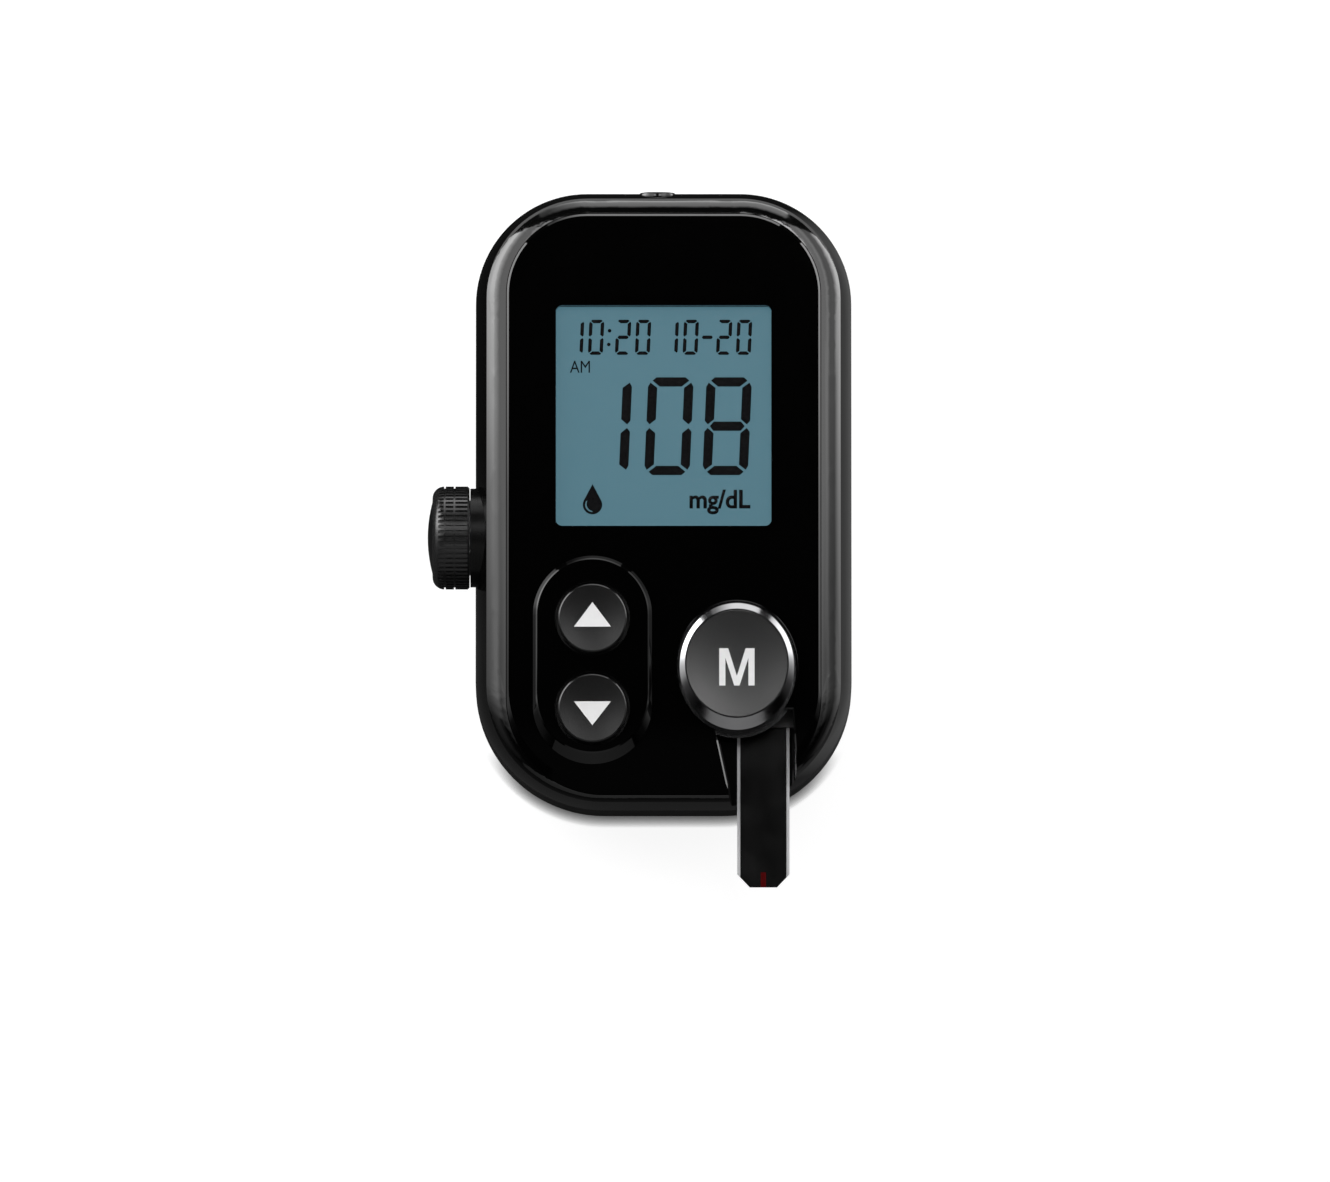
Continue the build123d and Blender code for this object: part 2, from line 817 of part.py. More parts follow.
export_step(lcd_frame.part, "parts/lcd_frame.step")

with BuildPart() as light_guide:
    extrude(panel(glass_back - guide_thick, window_width, guide_length, 0, stack_y), amount=guide_thick)
light_guide.part.label = "light_guide"
export_step(light_guide.part, "parts/light_guide.step")

with BuildPart() as zebra_connectors:
    with BuildSketch(Plane.XY.offset(board_top)):
        with Locations(*zebra_places):
            Rectangle(zebra_length, zebra_width)
    extrude(amount=glass_back - board_top)
zebra_connectors.part.label = "zebra_connectors"
export_step(zebra_connectors.part, "parts/zebra_connectors.step")

# ---------------------------------------------------------------- arrow keys
with BuildPart() as key_bezel:
    extrude(island_outline(facia_back), amount=facia_thick)
    loft(
        sections=(
            island_outline(body_thick),
            island_outline(body_thick + island_rise, island_side, island_foot),
        ),
        ruled=True,
    )
    chamfer(key_bezel.faces().sort_by(Axis.Z)[-1].edges(), length=island_edge)
    with BuildSketch(Plane.XY.offset(facia_back)):
        with Locations((arrow_x, up_y), (arrow_x, down_y)):
            Circle(arrow_r + key_gap)
    extrude(amount=facia_thick + island_rise, mode=Mode.SUBTRACT)
key_bezel.part.label = "key_bezel"
export_step(key_bezel.part, "parts/key_bezel.step")

dish_r = (arrow_r**2 + arrow_dish**2) / (2 * arrow_dish)


def arrow_key(centre_y):
    """Round key: flange, plunger and a cap with a shallow dish."""
    with BuildPart() as key:
        extrude(disc(flange_top - flange_thick, arrow_flange_r, arrow_x, centre_y), amount=flange_thick)
        extrude(disc(plunger_tip, plunger_r, arrow_x, centre_y), amount=flange_top - plunger_tip)
        extrude(disc(flange_top, arrow_r, arrow_x, centre_y), amount=arrow_face - flange_top)
        fillet(key.faces().sort_by(Axis.Z)[-1].edges(), radius=arrow_edge)
        with Locations((arrow_x, centre_y, arrow_face + dish_r - arrow_dish)):
            Sphere(dish_r, mode=Mode.SUBTRACT)
    return key


up_button = arrow_key(up_y)
up_button.part.label = "up_button"
export_step(up_button.part, "parts/up_button.step")

down_button = arrow_key(down_y)
down_button.part.label = "down_button"
export_step(down_button.part, "parts/down_button.step")

# ---------------------------------------------------------------- memory key
with BuildPart() as memory_button:
    extrude(memory_oval(flange_top - flange_thick, memory_flange), amount=flange_thick)
    extrude(disc(plunger_tip, plunger_r, memory_x, memory_y), amount=flange_top - plunger_tip)
    extrude(memory_oval(flange_top), amount=memory_face - memory_drop - flange_top)
    loft(
        sections=(
            memory_oval(memory_face - memory_drop),
            memory_oval(memory_face, slope=1),
        ),
        ruled=True,
    )
    extrude(
        memory_oval(memory_face - memory_cap_thick, fit_gap - memory_lip, 1),
        amount=memory_cap_thick,
        mode=Mode.SUBTRACT,
    )
memory_button.part.label = "memory_button"
export_step(memory_button.part, "parts/memory_button.step")

memory_cap_reach = memory_half_length - (memory_slope_top + memory_slope_foot) / 2 - memory_lip
memory_cap_y = memory_y + (memory_slope_foot - memory_slope_top) / 2
memory_dish_r = (memory_cap_reach**2 + memory_cap_dish**2) / (2 * memory_cap_dish)

with BuildPart() as memory_cap:
    extrude(
        memory_oval(memory_face - memory_cap_thick, -memory_lip, 1),
        amount=memory_cap_thick,
    )
    fillet(memory_cap.faces().sort_by(Axis.Z)[-1].edges(), radius=memory_cap_edge)
    with Locations((memory_x, memory_cap_y, memory_face + memory_dish_r - memory_cap_dish)):
        Sphere(memory_dish_r, mode=Mode.SUBTRACT)
memory_cap.part.label = "memory_cap"
export_step(memory_cap.part, "parts/memory_cap.step")

# ---------------------------------------------------------------- boards
trough_clear = trough_back + board_edge_gap

with BuildPart() as main_board:
    extrude(body_outline(board_back, wall + board_edge_gap + flank_inset), amount=board_thick)
    with BuildSketch(Plane.XY.offset(board_back)):
        with Locations(*boss_places):
            Circle(boss_r + board_edge_gap)
        with Locations(*post_places):
            Circle(board_screw_r + screw_gap)
        # clear of the trough, the encoder and the top button
        Polygon(
            (trough_left - board_edge_gap, trough_clear),
            (side_x, trough_clear),
            (side_x, -end_y),
            (trough_left - board_edge_gap, -end_y),
            align=None,
        )
        with Locations((-side_x, dial_y)):
            Rectangle(
                2 * (side_x - encoder_back + board_edge_gap),
                2 * (collar_flange_r + board_edge_gap),
            )
        with Locations((top_button_x, end_y)):
            Rectangle(
                top_button_flange_width + 2 * board_edge_gap,
                2 * (end_y - switch_front - fit_gap),
            )
    extrude(amount=board_thick, mode=Mode.SUBTRACT)
main_board.part.label = "main_board"
export_step(main_board.part, "parts/main_board.step")

with BuildPart() as board_chips:
    for chip_side, chip_end, chip_width, chip_length, chip_height in chips:
        extrude(
            panel(
                board_back - chip_height,
                chip_width,
                chip_length,
                chip_side - side_x,
                chip_end - end_y,
            ),
            amount=chip_height,
        )
board_chips.part.label = "board_chips"
export_step(board_chips.part, "parts/board_chips.step")

with BuildPart() as buzzer:
    extrude(disc(board_back - buzzer_height, buzzer_r, buzzer_x, buzzer_y), amount=buzzer_height)
    extrude(
        disc(board_back - buzzer_height, buzzer_port_r, buzzer_x, buzzer_y),
        amount=buzzer_height / 2,
        mode=Mode.SUBTRACT,
    )
buzzer.part.label = "buzzer"
export_step(buzzer.part, "parts/buzzer.step")

key_leg_left = arrow_x - key_leg_border
key_leg_right = arrow_x + key_leg_inner
key_arm_top = memory_y + key_board_border
key_arm_bottom = memory_y - key_board_border
key_arm_right = memory_x + key_board_border
spacer_places = (
    (arrow_x - spacer_outer, up_y + spacer_end),
    (arrow_x + spacer_inner, up_y + spacer_end),
    (arrow_x - spacer_outer, (up_y + down_y) / 2),
    (arrow_x + spacer_inner, down_y - spacer_end),
    (memory_x - memory_half_width, memory_y + spacer_inner),
)

with BuildPart() as key_board:
    with BuildSketch(Plane.XY.offset(key_board_back)):
        Polygon(
            (key_leg_left, up_y + key_leg_end),
            (key_leg_right, up_y + key_leg_end),
            (key_leg_right, key_arm_top),
            (key_arm_right, key_arm_top),
            (key_arm_right, key_arm_bottom),
            (key_leg_right, key_arm_bottom),
            (key_leg_right, down_y - key_leg_end),
            (key_leg_left, down_y - key_leg_end),
            align=None,
        )
    extrude(amount=key_board_thick)
key_board.part.label = "key_board"
export_step(key_board.part, "parts/key_board.step")

with BuildPart() as board_spacers:
    with BuildSketch(Plane.XY.offset(board_top)):
        with Locations(*spacer_places):
            Circle(spacer_r)
    extrude(amount=key_board_back - board_top)
board_spacers.part.label = "board_spacers"
export_step(board_spacers.part, "parts/board_spacers.step")

with BuildPart() as key_domes:
    with BuildSketch(Plane.XY.offset(key_board_top)):
        with Locations((arrow_x, up_y), (arrow_x, down_y), (memory_x, memory_y)):
            Circle(dome_r)
    extrude(amount=dome_height, taper=dome_taper)
key_domes.part.label = "key_domes"
export_step(key_domes.part, "parts/key_domes.step")

# ---------------------------------------------------------------- strip port
port_top = key_board_back - fit_gap
contact_z = strip_z + strip_base_thick + fit_gap
contact_places = [
    strip_x + (index - (contact_count - 1) / 2) * contact_pitch for index in range(contact_count)
]

with BuildPart() as strip_port:
    with BuildSketch(Plane.XY.offset(board_top)):
        with Locations((strip_x, (port_mouth_y + port_back_y) / 2)):
            Rectangle(port_width, port_back_y - port_mouth_y)
    extrude(amount=port_top - board_top)
    # slot for the strip
    with BuildSketch(Plane.XY.offset(slot_floor)):
        with Locations((strip_x, (port_mouth_y + slot_end_y) / 2)):
            Rectangle(strip_width + 2 * slide_gap, slot_end_y - port_mouth_y)
    extrude(amount=slot_height, mode=Mode.SUBTRACT)
    # grooves for the contact springs
    with BuildSketch(Plane.XY.offset(contact_z - fit_gap)):
        groove_start = port_mouth_y + contact_reach - slide_gap
        for place in contact_places:
            with Locations((place, (groove_start + port_back_y) / 2)):
                Rectangle(contact_width + 2 * fit_gap, port_back_y - groove_start)
    extrude(amount=contact_thick + 2 * fit_gap, mode=Mode.SUBTRACT)
strip_port.part.label = "strip_port"
export_step(strip_port.part, "parts/strip_port.step")

with BuildPart() as strip_contacts:
    spring_start = port_mouth_y + contact_reach
    spring_end = port_back_y + contact_thick + fit_gap
    spring_length = spring_end - spring_start
    for place in contact_places:
        extrude(
            panel(contact_z, contact_width, spring_length, place, spring_start + spring_length / 2),
            amount=contact_thick,
        )
        extrude(
            panel(board_top, contact_width, contact_thick, place, spring_end - contact_thick / 2),
            amount=contact_z + contact_thick - board_top,
        )
strip_contacts.part.label = "strip_contacts"
export_step(strip_contacts.part, "parts/strip_contacts.step")


# ---------------------------------------------------------------- strip
def strip_outline(height, width, length):
    """Strip in plan, from its cut-off tip towards the meter."""
    start_y = strip_end_y
    slope = (strip_width - strip_tip_width) / 2 / strip_tip_length
    tip_width = min(strip_tip_width, width)
    tip_length = (width - tip_width) / 2 / slope
    with BuildSketch(Plane.XY.offset(height)) as sketch:
        with Locations((strip_x, 0)):
            Polygon(
                (-tip_width / 2, start_y),
                (tip_width / 2, start_y),
                (width / 2, start_y + tip_length),
                (width / 2, start_y + length),
                (-width / 2, start_y + length),
                (-width / 2, start_y + tip_length),
                align=None,
            )
    return sketch.sketch


with BuildPart() as test_strip:
    extrude(strip_outline(strip_z, strip_width, strip_length), amount=strip_base_thick)
test_strip.part.label = "test_strip"
export_step(test_strip.part, "parts/test_strip.step")

with BuildPart() as strip_cover:
    extrude(strip_outline(film_z, strip_cover_width, strip_length - strip_bare), amount=strip_cover_thick)
    extrude(
        panel(film_z, channel_width, channel_length, strip_x, strip_end_y + channel_length / 2),
        amount=strip_cover_thick,
        mode=Mode.SUBTRACT,
    )
strip_cover.part.label = "strip_cover"
export_step(strip_cover.part, "parts/strip_cover.step")

with BuildPart() as strip_channel:
    extrude(
        panel(film_z, channel_width, channel_length, strip_x, strip_end_y + channel_length / 2),
        amount=strip_cover_thick,
    )
strip_channel.part.label = "strip_channel"
export_step(strip_channel.part, "parts/strip_channel.step")

# ---------------------------------------------------------------- top button
with BuildPart() as top_button:
    with BuildSketch(to_top_end(flange_front)):
        Rectangle(top_button_flange_width, top_button_flange_height)
    extrude(amount=top_button_flange_thick)
    extrude(top_oval(flange_stop), amount=top_face - flange_stop)
    fillet(top_button.faces().sort_by(Axis.Y)[-1].edges(), radius=top_button_proud)
    with BuildSketch(to_top_end(stem_tip)):
        Circle(top_button_stem_r)
    extrude(amount=flange_front - stem_tip)
top_button.part.label = "top_button"
export_step(top_button.part, "parts/top_button.step")

with BuildPart() as top_switch:
    extrude(
        panel(board_top, switch_width, switch_depth, top_button_x, switch_front - switch_depth / 2),
        amount=switch_height,
    )
    with BuildSketch(Plane.XZ.offset(-switch_front)):
        with Locations((top_button_x, board_top + switch_height / 2)):
            Circle(switch_nub_r)
    extrude(amount=-switch_nub)
top_switch.part.label = "top_switch"
export_step(top_switch.part, "parts/top_switch.step")

# ---------------------------------------------------------------- side dial
with BuildPart() as dial_collar:
    extrude(dial_disc(side_x - wall, collar_r), amount=collar_face - side_x + wall)
    add(rear_form.part, mode=Mode.SUBTRACT)
    add(front_form.part, mode=Mode.SUBTRACT)
    extrude(dial_disc(encoder_face, collar_neck_r), amount=collar_face - encoder_face)
    extrude(dial_disc(encoder_face, collar_flange_r), amount=collar_flange_thick)
    extrude(
        dial_disc(encoder_face, bushing_r + fit_gap),
        amount=collar_face - encoder_face,
        mode=Mode.SUBTRACT,
    )
dial_collar.part.label = "dial_collar"
export_step(dial_collar.part, "parts/dial_collar.step")

with BuildPart() as encoder_body:
    with BuildSketch(outward(encoder_back)):
        Rectangle(encoder_width, encoder_width)
    extrude(amount=encoder_depth)
    extrude(dial_disc(encoder_face, bushing_r), amount=bushing_end - encoder_face)
    extrude(
        dial_disc(encoder_back + encoder_floor, shaft_r + shaft_gap),
        amount=bushing_end - encoder_back,
        mode=Mode.SUBTRACT,
    )
encoder_body.part.label = "encoder_body"
export_step(encoder_body.part, "parts/encoder_body.step")

with BuildPart() as encoder_nut:
    with BuildSketch(outward(collar_face)):
        RegularPolygon(nut_across / 2, 6, major_radius=False)
        Circle(bushing_r + screw_gap, mode=Mode.SUBTRACT)
    extrude(amount=nut_thick)
encoder_nut.part.label = "encoder_nut"
export_step(encoder_nut.part, "parts/encoder_nut.step")

with BuildPart() as encoder_shaft:
    extrude(dial_disc(shaft_start, shaft_r), amount=shaft_end - shaft_start)
encoder_shaft.part.label = "encoder_shaft"
export_step(encoder_shaft.part, "parts/encoder_shaft.step")

with BuildPart() as dial_knob:
    extrude(dial_disc(dial_inner, dial_r), amount=dial_outer - dial_inner)
    fillet(dial_knob.faces().sort_by(Axis.X)[0].edges(), radius=dial_front_round)
    chamfer(dial_knob.faces().sort_by(Axis.X)[-1].edges(), length=dial_back_step)
    # knurl: fine ribs along the axis, parted by rings
    with BuildSketch(outward(dial_inner + dial_back_step)):
        with PolarLocations(dial_r, knurl_count):
            Rectangle(2 * knurl_depth, knurl_width)
    extrude(amount=dial_outer - dial_front_round / 2 - dial_inner - dial_back_step, mode=Mode.SUBTRACT)
    for groove in knurl_grooves:
        with BuildSketch(outward(dial_inner + groove)):
            Circle(dial_r)
            Circle(dial_r - knurl_depth, mode=Mode.SUBTRACT)
        extrude(amount=knurl_groove_width, mode=Mode.SUBTRACT)
    # hollow round the nut, bore for the shaft, seat for the cap
    extrude(dial_disc(dial_inner, dial_r - dial_wall), amount=nut_thick + nut_clear, mode=Mode.SUBTRACT)
    extrude(dial_disc(dial_inner, shaft_r + press_gap), amount=shaft_end - dial_inner, mode=Mode.SUBTRACT)
    extrude(
        dial_disc(dial_outer - dial_cap_seat, dial_cap_r + fit_gap),
        amount=dial_cap_seat,
        mode=Mode.SUBTRACT,
    )
dial_knob.part.label = "dial_knob"
export_step(dial_knob.part, "parts/dial_knob.step")

cap_dome_r = (dial_cap_r**2 + dial_cap_dome**2) / (2 * dial_cap_dome)
with BuildPart() as dial_cap:
    extrude(dial_disc(dial_outer - dial_cap_seat, dial_cap_r), amount=dial_cap_seat + dial_cap_dome)
    with Locations((-dial_outer - dial_cap_dome + cap_dome_r, dial_y, dial_z)):
        Sphere(cap_dome_r, mode=Mode.INTERSECT)
dial_cap.part.label = "dial_cap"
export_step(dial_cap.part, "parts/dial_cap.step")

# ---------------------------------------------------------------- battery door and cells
with BuildPart() as battery_door:
    extrude(disc(0, door_r, 0, battery_y), amount=door_thick)
    extrude(disc(0, drum_r, 0, battery_y), amount=drum_top)
    chamfer(battery_door.faces().sort_by(Axis.Z)[0].edges(), length=seam_chamfer)
    # bayonet lugs above the ledge
    with BuildSketch(Plane.XY.offset(floor_thick + slide_gap / 2)):
        with Locations((0, battery_y)):
            with PolarLocations(0, lug_count):
                add(sector(lug_reach, lug_angle))
            Circle(well_r, mode=Mode.SUBTRACT)
    extrude(amount=lug_thick)
    with BuildSketch(Plane.XY):
        with Locations((0, battery_y)):
            SlotOverall(coin_slot_length, coin_slot_width)
    extrude(amount=coin_slot_depth, mode=Mode.SUBTRACT)
battery_door.part.label = "battery_door"
export_step(battery_door.part, "parts/battery_door.step")

with BuildPart() as battery_cells:
    for index in range(cell_count):
        base = cell_bottom + index * cell_thick
        extrude(disc(base, cell_r - cell_lid_inset, 0, battery_y), amount=cell_thick)
        extrude(disc(base + cell_lid_height, cell_r, 0, battery_y), amount=cell_thick - cell_lid_height)
battery_cells.part.label = "battery_cells"
export_step(battery_cells.part, "parts/battery_cells.step")

side_riser_y = battery_y - cell_r - contact_strip / 2
side_riser_z = skirt_top + well_wall + slide_gap
end_riser_y = battery_y + (contact_pad + contact_strip) / 2
end_pad_z = cell_top + fit_gap
foot_z = board_back - contact_strip
foot_shift = (contact_foot + contact_strip) / 2
with BuildPart() as battery_contacts:
    # side contact: riser against the cells, foot on the board
    extrude(
        panel(side_riser_z, contact_strip_width, contact_strip, 0, side_riser_y),
        amount=board_back - side_riser_z,
    )
    extrude(
        panel(foot_z, contact_strip_width, contact_foot, 0, side_riser_y - foot_shift),
        amount=contact_strip,
    )
    # end contact: pad on the top cell, riser, foot on the board
    extrude(panel(end_pad_z, contact_strip_width, contact_pad, 0, battery_y), amount=contact_strip)
    extrude(
        panel(end_pad_z, contact_strip_width, contact_strip, 0, end_riser_y),
        amount=board_back - end_pad_z,
    )
    extrude(
        panel(foot_z, contact_strip_width, contact_foot, 0, end_riser_y + foot_shift),
        amount=contact_strip,
    )
battery_contacts.part.label = "battery_contacts"
export_step(battery_contacts.part, "parts/battery_contacts.step")

# ---------------------------------------------------------------- screws
with BuildPart() as housing_screws:
    with BuildSketch(Plane.XY.offset(screw_seat_z - screw_head_height)):
        with Locations(*boss_places):
            Circle(screw_head_r)
    extrude(amount=screw_head_height)
    with BuildSketch(Plane.XY.offset(screw_seat_z)):
        with Locations(*boss_places):
            Circle(screw_r)
    extrude(amount=screw_length)
    # cross recess in each head
    with BuildSketch(Plane.XY.offset(screw_seat_z - screw_head_height)):
        with Locations(*boss_places):
            Rectangle(recess_length, recess_width)
            Rectangle(recess_width, recess_length)
    extrude(amount=recess_depth, mode=Mode.SUBTRACT)
housing_screws.part.label = "housing_screws"
export_step(housing_screws.part, "parts/housing_screws.step")

with BuildPart() as board_screws:
    with BuildSketch(Plane.XY.offset(board_back - board_screw_head)):
        with Locations(*post_places):
            Circle(board_screw_head_r)
    extrude(amount=board_screw_head)
    with BuildSketch(Plane.XY.offset(board_back)):
        with Locations(*post_places):
            Circle(board_screw_r)
    extrude(amount=board_thick + board_screw_depth - screw_gap)
board_screws.part.label = "board_screws"
export_step(board_screws.part, "parts/board_screws.step")
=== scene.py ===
"""Looks of the blood glucose meter: materials, printed legends, light and camera.

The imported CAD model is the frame: origin at the middle of the flat rear face, +Z out of
the display, +Y towards the top end, +X to the right. Prints are drawn in millimetres and
turned into metres by MM; everything else is in metres.
"""

import math

import bmesh
import bpy
from mathutils import Matrix, Vector
from mathutils.bvhtree import BVHTree


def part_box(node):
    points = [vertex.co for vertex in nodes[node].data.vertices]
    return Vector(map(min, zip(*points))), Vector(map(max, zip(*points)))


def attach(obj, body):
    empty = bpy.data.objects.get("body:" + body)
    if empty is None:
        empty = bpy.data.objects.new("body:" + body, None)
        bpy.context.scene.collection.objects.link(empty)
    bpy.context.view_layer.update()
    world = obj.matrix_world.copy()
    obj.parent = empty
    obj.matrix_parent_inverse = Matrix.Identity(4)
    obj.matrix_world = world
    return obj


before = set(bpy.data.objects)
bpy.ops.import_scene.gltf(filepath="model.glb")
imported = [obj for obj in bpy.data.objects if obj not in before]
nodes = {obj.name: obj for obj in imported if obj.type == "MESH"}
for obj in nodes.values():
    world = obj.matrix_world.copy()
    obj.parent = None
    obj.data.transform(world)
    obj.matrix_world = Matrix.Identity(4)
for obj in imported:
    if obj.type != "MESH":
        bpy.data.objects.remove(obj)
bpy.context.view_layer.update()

MM = 0.001
MICRON = 0.000001
scene = bpy.context.scene


# ---------------------------------------------------------------- shader nodes
def add_node(material, kind, **values):
    """A node in a material's or a world's tree; values name its inputs, with _ for a space."""
    node = material.node_tree.nodes.new(kind)
    for socket, value in values.items():
        node.inputs[socket.replace("_", " ")].default_value = value
    return node


def link(material, source, target):
    material.node_tree.links.new(source, target)


def axes_of(material, output):
    """The x, y and z sockets of a texture coordinate."""
    place = add_node(material, "ShaderNodeTexCoord")
    split = add_node(material, "ShaderNodeSeparateXYZ")
    link(material, place.outputs[output], split.inputs["Vector"])
    return split.outputs


def spread(material, value, low, high, start=0.0, end=1.0):
    """A number that goes from low to high as value goes from start to end."""
    span = {"From_Min": start, "From_Max": end, "To_Min": low, "To_Max": high}
    node = add_node(material, "ShaderNodeMapRange", **span)
    link(material, value, node.inputs["Value"])
    return node.outputs["Result"]


def maths(material, operation, first, second):
    """The result of an operation on two numbers, each a socket or a value."""
    node = add_node(material, "ShaderNodeMath")
    node.operation = operation
    for value, socket in ((first, node.inputs[0]), (second, node.inputs[1])):
        if isinstance(value, float):
            socket.default_value = value
        else:
            link(material, value, socket)
    return node.outputs["Value"]


def ramp(material, value, levels):
    """A number that follows levels, pairs of a place from 0 to 1 and a value up to 1."""
    node = add_node(material, "ShaderNodeValToRGB")
    stops = node.color_ramp.elements
    while len(stops) < len(levels):
        stops.new(0.5)
    for stop, (place, level) in zip(stops, levels):
        stop.position = place
        stop.color = (level, level, level, 1)
    link(material, value, node.inputs["Fac"])
    return node.outputs["Color"]


# ---------------------------------------------------------------- materials
NOISE_LOW, NOISE_HIGH = 0.3, 0.7    # noise mostly stays between these
# features per metre: wipe marks and orange peel on gloss, wear and texture on satin, keys
WIPES, PEEL, WEAR, TEXTURE, FINE_TEXTURE = 180, 260, 400, 2600, 5200


def shader_of(material):
    return material.node_tree.nodes["Principled BSDF"]


def feed(material, socket, source):
    """Lets a node's output set a socket of the Principled shader."""
    link(material, source, shader_of(material).inputs[socket])


def principled(name, colour, roughness, **sockets):
    """A material with one Principled shader; sockets are set by name, with _ for a space."""
    material = bpy.data.materials.new(name)
    material.use_nodes = True
    shader = shader_of(material)
    shader.inputs["Base Color"].default_value = (*colour, 1.0)
    shader.inputs["Roughness"].default_value = roughness
    for socket, value in sockets.items():
        shader.inputs[socket.replace("_", " ")].default_value = value
    return material


def surface_noise(material, scale, detail=4.0):
    """Noise over the object's own coordinates, scale in features per metre."""
    place = add_node(material, "ShaderNodeTexCoord")
    noise = add_node(material, "ShaderNodeTexNoise", Scale=scale, Detail=detail)
    link(material, place.outputs["Object"], noise.inputs["Vector"])
    return noise.outputs["Fac"]


def vary_roughness(material, scale, roughness, least, most):
    """Handling marks: the roughness drifts between two shares of its value."""
    noise = surface_noise(material, scale)
    drift = spread(material, noise, roughness * least, roughness * most, NOISE_LOW, NOISE_HIGH)
    feed(material, "Roughness", drift)


def vary_colour(material, scale, colour, drift):
    """The base colour drifts by that share to either side."""
    shades = add_node(material, "ShaderNodeValToRGB")
    for stop, share in zip(shades.color_ramp.elements, (1 - drift, 1 + drift)):
        stop.color = (*(part * share for part in colour), 1.0)
    link(material, surface_noise(material, scale), shades.inputs["Fac"])
    feed(material, "Base Color", shades.outputs["Color"])


def grain(material, scale, height, detail=3.0):
    """Fine moulded texture: noise of that height as a bump."""
    bump = add_node(material, "ShaderNodeBump", Distance=height)
    link(material, surface_noise(material, scale, detail), bump.inputs["Height"])
    feed(material, "Normal", bump.outputs["Normal"])


def gloss_black(name, colour, roughness, peel, index=1.6):
    """Lacquered black of that refractive index, with a trace of orange peel."""
    material = principled(name, (colour,) * 3, roughness, IOR=index)
    vary_roughness(material, WIPES, roughness, 0.8, 1.3)
    grain(material, PEEL, peel, detail=1.0)
    return material


def satin_black(name, colour, roughness, texture_height):
    """Moulded black with a fine eroded texture."""
    material = principled(name, (colour,) * 3, roughness)
    vary_roughness(material, WEAR, roughness, 0.9, 1.15)
    grain(material, TEXTURE, texture_height)
    return material


KEY_COLOUR = 0.004
KEY_FACE_ROUGHNESS, KEY_EDGE_ROUGHNESS = 0.24, 0.12
# upward part of the normal where the edge ends and where the face begins
KEY_EDGE_UP, KEY_FACE_UP = 0.9, 0.985


def key_black(name, index):
    """A key cap: satin lacquer of that refractive index, polished by fingers at its edge."""
    material = principled(name, (KEY_COLOUR,) * 3, KEY_FACE_ROUGHNESS, IOR=index)
    upward = axes_of(material, "Normal")["Z"]
    polish = spread(
        material, upward, KEY_EDGE_ROUGHNESS, KEY_FACE_ROUGHNESS, KEY_EDGE_UP, KEY_FACE_UP
    )
    feed(material, "Roughness", polish)
    grain(material, FINE_TEXTURE, 2 * MICRON)
    return material


def plain(name, colour, roughness, drift=0.12, scale=300, **sockets):
    """A plain material whose colour and roughness drift a little."""
    material = principled(name, colour, roughness, **sockets)
    vary_colour(material, scale, colour, drift)
    vary_roughness(material, scale * 2, roughness, 0.85, 1.15)
    return material


def metal(name, colour, roughness, **options):
    return plain(name, colour, roughness, Metallic=1.0, **options)


BLACK_PLASTIC = (0.012, 0.012, 0.013)
WHITE_PLASTIC = (0.75, 0.75, 0.72)
BOARD_GREEN = (0.01, 0.07, 0.03)
STEEL = (0.6, 0.6, 0.6)
PLATED = (0.5, 0.5, 0.5)

LCD_COLOUR = (0.026, 0.060, 0.075)
# The cell glows partly from its backlight and partly from painted light, which washes out the
# shade the window's frame casts on the recessed cell.
LCD_BACKLIGHT_AND_FILL = (0.1015, 0.238, 0.300)       # backlight glow, made stronger as painted light over the recess shade
lcd_glow_and_painted_fill = {"Emission_Color": (*LCD_BACKLIGHT_AND_FILL, 1), "Emission_Strength": 1.0}

shell_gloss = gloss_black("shell_gloss", 0.001, 0.07, 2 * MICRON)
facia_gloss = gloss_black("facia_gloss", 0.0006, 0.04, 0.5 * MICRON, index=1.45)
shell_satin = satin_black("shell_satin", 0.006, 0.42, 20 * MICRON)
arrow_face = key_black("arrow_face", index=1.45)
lcd_ink = plain("lcd_ink", (0.003, 0.003, 0.004), 0.3, 0.2, 1500, Specular_IOR_Level=0.1)
legend_white = plain("legend_white", (0.72, 0.72, 0.72), 0.45, 0.04, 1200)

